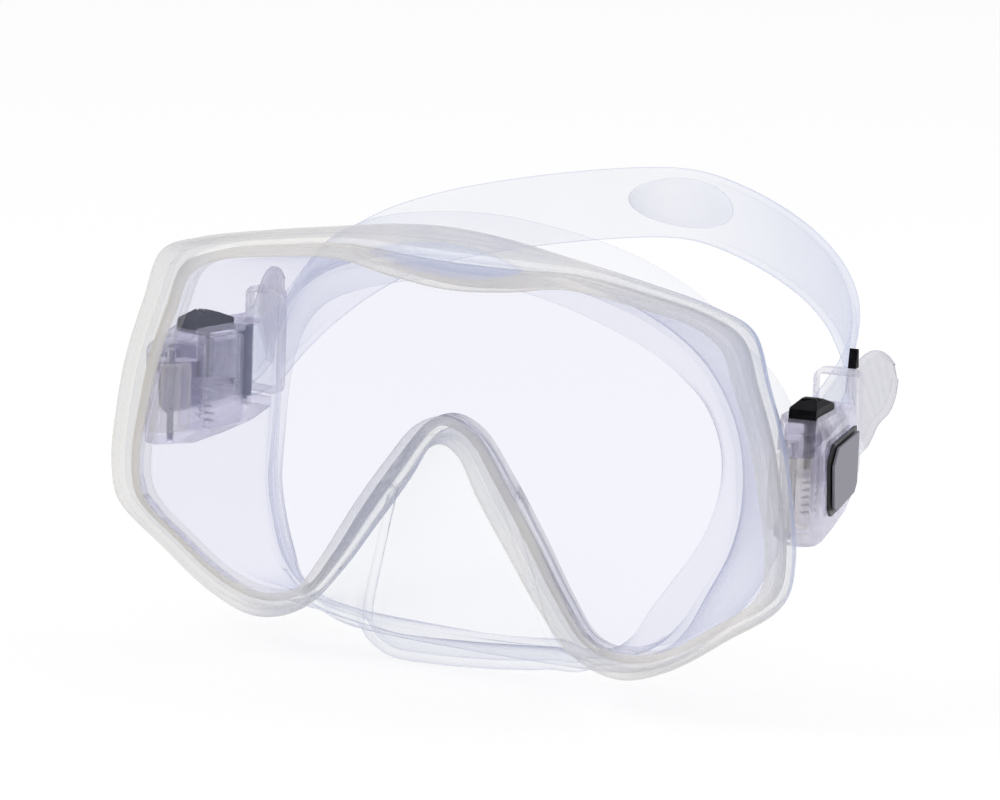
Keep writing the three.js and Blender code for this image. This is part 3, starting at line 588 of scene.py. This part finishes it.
def lug(word, side):
    """The silicone barrel that holds one hinge pin, with the web that joins it to the bead."""
    low, high, bore = LUG["low"], LUG["high"], LUG["bore"]
    around = 40
    turns = [2 * math.pi * i / around for i in range(around)]
    outline = []
    for a in turns:
        x, y = LUG["radius"] * math.cos(a), LUG["radius"] * math.sin(a)
        if y < 0:  # the web; the buckle swings outside it
            y *= 1 + LUG["web"] * float(smooth_step((LUG["web_to"] - x) / LUG["web_fade"]))
        outline.append((x, y))
    rows = []
    levels = ((low, 0.88), (low + 0.35, 0.97), (low + 1, 1), (high - 1, 1), (high - 0.35, 0.97), (high, 0.88))
    for z, grow in levels:
        rows.append([(x * grow, y * grow, z) for x, y in outline])
    for z, r in ((high, bore + 0.5), (high - 0.5, bore), (low + 0.5, bore), (low, bore + 0.5)):
        rows.append([(r * math.cos(a), r * math.sin(a), z) for a in turns])
    points = []
    for row in rows:
        for x, y, z in row:
            points.append(Vector((side * (PIN_X + x), PIN_Y + y, z - ORIGIN_HEIGHT)) * MM)
    faces = loft_faces(len(rows), around, True)
    piece = make(f"lug_{word}", points, faces, MATERIALS["lug"])
    smooth = piece.modifiers.new("smooth", "SUBSURF")
    smooth.levels = 1
    smooth.render_levels = 1
    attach(piece, "mask")


# ---- strap
def from_buckle(x, y, z):
    """A point of the right buckle's own frame, whose Z axis is the swivel pin, in the mask's frame."""
    c, s = math.cos(BUCKLE_TURN), math.sin(BUCKLE_TURN)
    return np.array([PIN_X + x * c - y * s, PIN_Y + x * s + y * c, z - ORIGIN_HEIGHT])


# The band's middle line from the keeper round the head, before the two points at its back.
STRAP_HEAD = [
    (69, 45, 10.4),
    (68.7, 50.4, 13.6),
    (67.2, 56.4, 18),
    (63.4, 63, 23.4),
    (56.5, 70.4, 29),
    (47, 78.6, 33),
    (35, 87.4, 36),
    (20, 96.2, 38.6),
    (7, 101.6, 40.1),
]

# Half of the band's section from its middle to its edge: (share of the half width, half thickness).
STRAP_SECTION = [(0, 0.62), (0.5, 0.62), (0.78, 0.62), (0.84, 0.7), (0.89, 0.88), (0.95, 0.9), (1, 0.45)]
STRAP_GAP, STRAP_HALF = 0.3, 0.9  # the band's gap to the roller, and half of its thickness
CURVE_SAMPLES = 12  # samples of the band's route between two of its points
STRAP_ROWS = 300  # rows of points along half of the band
TAIL = 7.0  # length over which the pull tab's end is rounded
TAB_END = 13.5  # length of the pull tab, up to the keeper
TAB_LIFT = 3.0  # the tab stands this much above the band's middle line
RIBBED = 11.0  # length of the tab that carries ribs
RIB_PITCH = 2.4
RIB_HEIGHT = 0.22
TIP_SHARE = 0.25  # the tab's width at its very end, as a share of the band's


def strap_route():
    """The band's middle line on the right: pull tab, keeper, round the roller, keeper, round the head."""
    bend = ROLLER_R + STRAP_GAP + STRAP_HALF
    route = [from_buckle(*p) for p in ((7.2, 44.6, 15.6), (5.6, 40.6, 14), (4.2, 37.2, 12.2), (2.9, 34, 10))]
    route += [from_buckle(ROLLER_X + bend, y, z) for y, z in ((30.6, 8.2), (27, 6.4))]
    for i in range(9):
        a = i / 8 * math.pi
        route.append(from_buckle(ROLLER_X + bend * math.cos(a), ROLLER_Y - bend * math.sin(a), ROLLER_Z))
    route += [from_buckle(ROLLER_X - bend, y, z) for y, z in ((27, 6.3), (30.6, 7.9))]
    route += [raised(p) for p in STRAP_HEAD]
    route.append(raised((0, *STRAP_BACK)))
    route.append(raised((-7, *STRAP_HEAD[-1][1:])))
    return catmull_rom(route, False, CURVE_SAMPLES)


def strap_frames():
    """Places along the band's middle line, its upward and outward directions there, and the way travelled."""
    path = strap_route()[:-CURVE_SAMPLES]  # the last point only shapes the curve
    steps = np.r_[0, np.cumsum(np.linalg.norm(np.diff(path, axis=0), axis=1))]
    even = np.linspace(0, steps[-1], STRAP_ROWS)
    at = np.stack([np.interp(even, steps, path[:, k]) for k in range(3)], axis=1)
    along = np.gradient(at, axis=0)
    along[-1] = (along[-1][0], 0, 0)  # the halves meet square to the mask's middle
    along /= np.linalg.norm(along, axis=1)[:, None]
    up = np.array([0, 0, 1.0]) - along * along[:, 2:]
    up /= np.linalg.norm(up, axis=1)[:, None]
    return at, up, np.cross(along, up), even


def strap_half(word, side):
    """One half of the band, from its ribbed pull tab to the middle of the back."""
    at, up, out, travelled = strap_frames()
    rows = []
    for p, u, o, s in zip(at, up, out, travelled):
        p = p + (0, 0, TAB_LIFT * float(smooth_step((TAB_END - s) / 3)))
        e = min(s / TAIL, 1)
        narrow = max(math.sqrt(1 - (1 - e) ** 2), TIP_SHARE)
        rib = 0.0
        if s < RIBBED:
            rib = RIB_HEIGHT * max(0.0, math.sin(2 * math.pi * s / RIB_PITCH))
        ring = []
        for face in (1, -1):
            profile = [(-b, t) for b, t in reversed(STRAP_SECTION)] + STRAP_SECTION[1:]
            if face < 0:
                profile = profile[::-1]
            for b, t in profile:
                lift = t + (rib if face > 0 and abs(b) < 0.8 else 0)
                q = p + o * (face * lift) + u * (b * STRAP_WIDTH / 2 * narrow)
                ring.append(q * (side, 1, 1) * MM)
        rows.append(ring)
    width = len(rows[0])
    points = [q for row in rows for q in row]
    faces = loft_faces(len(rows), width, False, False)
    slots = [1 if travelled[k // width] < TAB_END else 0 for k in range(len(faces) - 1)] + [1]
    piece = make(f"strap_{word}", points, faces, MATERIALS["band"], slots, [MATERIALS["tab"]])
    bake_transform(piece)
    return piece


def badge():
    """The blank oval badge on the back of the strap: a rimmed plate that follows the band's bend."""
    rings = [(1, 0), (1, 0.55), (0.97, 0.8), (0.9, 0.8), (0.87, 0.6), (0.6, 0.58), (0.3, 0.58), (0.05, 0.58)]
    around = 96
    back_y, back_z = STRAP_BACK
    points = []
    for grow, lift in rings:
        for i in range(around):
            a = 2 * math.pi * i / around
            x = BADGE["half_width"] * grow * math.cos(a)
            z = BADGE["half_height"] * grow * math.sin(a)
            y = back_y + BADGE["stand_off"] + lift - BADGE["bend"] * x * x
            points.append(Vector((x, y, back_z + z - ORIGIN_HEIGHT)) * MM)
    piece = make("badge", points, loft_faces(len(rings), around, False), MATERIALS["skin"])
    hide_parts("strap_badge")
    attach(piece, "mask")


# ---- springs
def coil_spring(word, side):
    """The round-wire spring under the pawl's front arm, made at one length; the real one shortens as the
    button goes down.
    """
    per_turn, around = 24, 10
    steps = SPRING["turns"] * per_turn
    rise = SPRING["top"] - SPRING["bottom"] - 2 * SPRING["wire"]
    rows = []
    for i in range(steps + 1):
        a = 2 * math.pi * i / per_turn
        end = min(i, steps - i) / 3
        wire = SPRING["wire"] * min(0.4 + 0.6 * end, 1)  # the wire's two ends are ground to a point
        row = []
        for j in range(around):
            b = 2 * math.pi * j / around
            r = SPRING["r"] + wire * math.cos(b)
            z = SPRING["bottom"] + SPRING["wire"] + rise * i / steps + wire * math.sin(b)
            row.append(from_buckle(r * math.cos(a), SPRING["y"] + r * math.sin(a), z) * (side, 1, 1) * MM)
        rows.append(row)
    points = [p for row in rows for p in row]
    piece = make(f"spring_{word}", points, loft_faces(len(rows), around, False), MATERIALS["steel"])
    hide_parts(f"button_spring_{word}")
    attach(piece, f"buckle_{word}")
    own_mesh(piece)


# ---- CAD pieces that stay
SPECIAL = {
    "core_frame": "core",
    **{f"lug_bush_{word}": "bush" for word in SIDES},
    **{f"label_backing_{word}": "backing" for word in SIDES},
}
BEVELLED = {"tinted_plastic", "clear_plastic", "black_plastic", "label_silver"}
BEVEL_WIDTH = 0.22
BEVEL_FROM = math.radians(40)  # edges that turn by more than this are bevelled


def finish_cad_nodes():
    """Gives every CAD node that shows its material by name or by slot, and soft edges to the moulded ones."""
    slots = {s["node"]: s["material_slot"] for s in frame["record"]["subparts"]}
    for name, obj in nodes.items():
        material = MATERIALS.get(SPECIAL.get(name, slots[name]))
        if material is None:
            continue  # a node that a detailed piece replaces
        for place in obj.material_slots:
            place.material = material
        if slots[name] in BEVELLED:
            edges = obj.modifiers.new("soft_edges", "BEVEL")
            edges.width = BEVEL_WIDTH * MM
            edges.segments = 2
            edges.limit_method = "ANGLE"
            edges.angle_limit = BEVEL_FROM


# ---- stage
AZIMUTH, ELEVATION, ROLL = (math.radians(v) for v in (30, 11.3, 2.07))
DISTANCE = 1200
LENS_LENGTH, SENSOR_WIDTH = 203.0, 36
ASIDE, ABOVE = 11.5, 10.6  # how far the camera stands to the right of and above the line to the pins' middle
FLOOR_HALF = 6.0  # in metres
LAMPS = {"key": ((-0.5, -0.8, 0.9), 0.5, 4), "rim": ((0.9, 0.5, 0.5), 0.4, 3)}  # place, size in metres, power


def camera():
    """The camera, turned about its own line of sight by ROLL."""
    ca, sa, ce, se = math.cos(AZIMUTH), math.sin(AZIMUTH), math.cos(ELEVATION), math.sin(ELEVATION)
    back = Vector((sa * ce, -ca * ce, se))
    level = Vector((ca, sa, 0))
    right = level * math.cos(ROLL) + back.cross(level) * math.sin(ROLL)
    up = back.cross(right)
    data = bpy.data.cameras.new("camera")
    data.lens = LENS_LENGTH
    data.sensor_width = SENSOR_WIDTH
    data.clip_start, data.clip_end = 0.05, 50
    obj = bpy.data.objects.new("camera", data)
    bpy.context.scene.collection.objects.link(obj)
    middle = Vector((0, 0, -ORIGIN_HEIGHT))
    obj.location = (middle + back * DISTANCE + right * ASIDE + up * ABOVE) * MM
    obj.rotation_mode = "QUATERNION"
    obj.rotation_quaternion = Matrix((right, up, back)).transposed().to_quaternion()
    bpy.context.scene.camera = obj


def floor():
    """A pale, faintly glowing floor that the mask stands on."""
    low = cad_box[0][2]
    n = Nodes("floor")
    matte = n.add("ShaderNodeBsdfDiffuse", {"Color": (0.9, 0.9, 0.9, 1)}).outputs[0]
    glow = n.add("ShaderNodeEmission", {"Color": (1, 1, 1, 1), "Strength": 1.0}).outputs[0]
    shader = n.add("ShaderNodeMixShader", {0: 0.75, 1: matte, 2: glow}).outputs[0]
    corners = [(x * FLOOR_HALF, y * FLOOR_HALF, low) for x, y in ((-1, -1), (1, -1), (1, 1), (-1, 1))]
    obj = make("floor", corners, [(0, 1, 2, 3)], n.surface(shader))


ROOM = ((0.0, 0.75), (0.42, 0.9), (0.5, 0.55), (0.58, 0.85), (0.8, 1.0))  # (height, grey), from below up


def world():
    """White to the camera, and to every other ray a soft room that is darkest at the horizon."""
    n = Nodes("studio", world=True)
    place = n.add("ShaderNodeTexCoord").outputs["Generated"]
    height = n.add("ShaderNodeSeparateXYZ", {0: place}).outputs["Z"]
    greys = [(stop, (grey * 0.97, grey * 0.97, grey)) for stop, grey in ROOM]
    shade = n.ramp(n.remap(height, 0.0, 1.0, -1.0), *greys)
    room = n.add("ShaderNodeBackground", {"Color": shade}).outputs[0]
    white = n.add("ShaderNodeBackground", {"Strength": 1.05}).outputs[0]
    seen = n.add("ShaderNodeLightPath").outputs["Is Camera Ray"]
    scene = bpy.context.scene
    scene.world = n.surface(n.add("ShaderNodeMixShader", {0: seen, 1: room, 2: white}).outputs[0])
    scene.view_settings.view_transform = "Standard"
    scene.cycles.transparent_max_bounces = 40  # a line of sight crosses many thin clear walls


def lamp(name, place, size, power):
    """A square area lamp that faces the origin."""
    data = bpy.data.lights.new(name, "AREA")
    data.size = size
    data.energy = power
    obj = bpy.data.objects.new(name, data)
    obj.location = place
    obj.rotation_mode = "QUATERNION"
    obj.rotation_quaternion = (-Vector(place)).to_track_quat("-Z", "Y")
    bpy.context.scene.collection.objects.link(obj)


camera()
skirt()
for word, side in SIDES.items():
    lug(word, side)
    strap_half(word, side)
    coil_spring(word, side)
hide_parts("strap")
badge()
finish_cad_nodes()
floor()
world()
for name, settings in LAMPS.items():
    lamp(name, *settings)
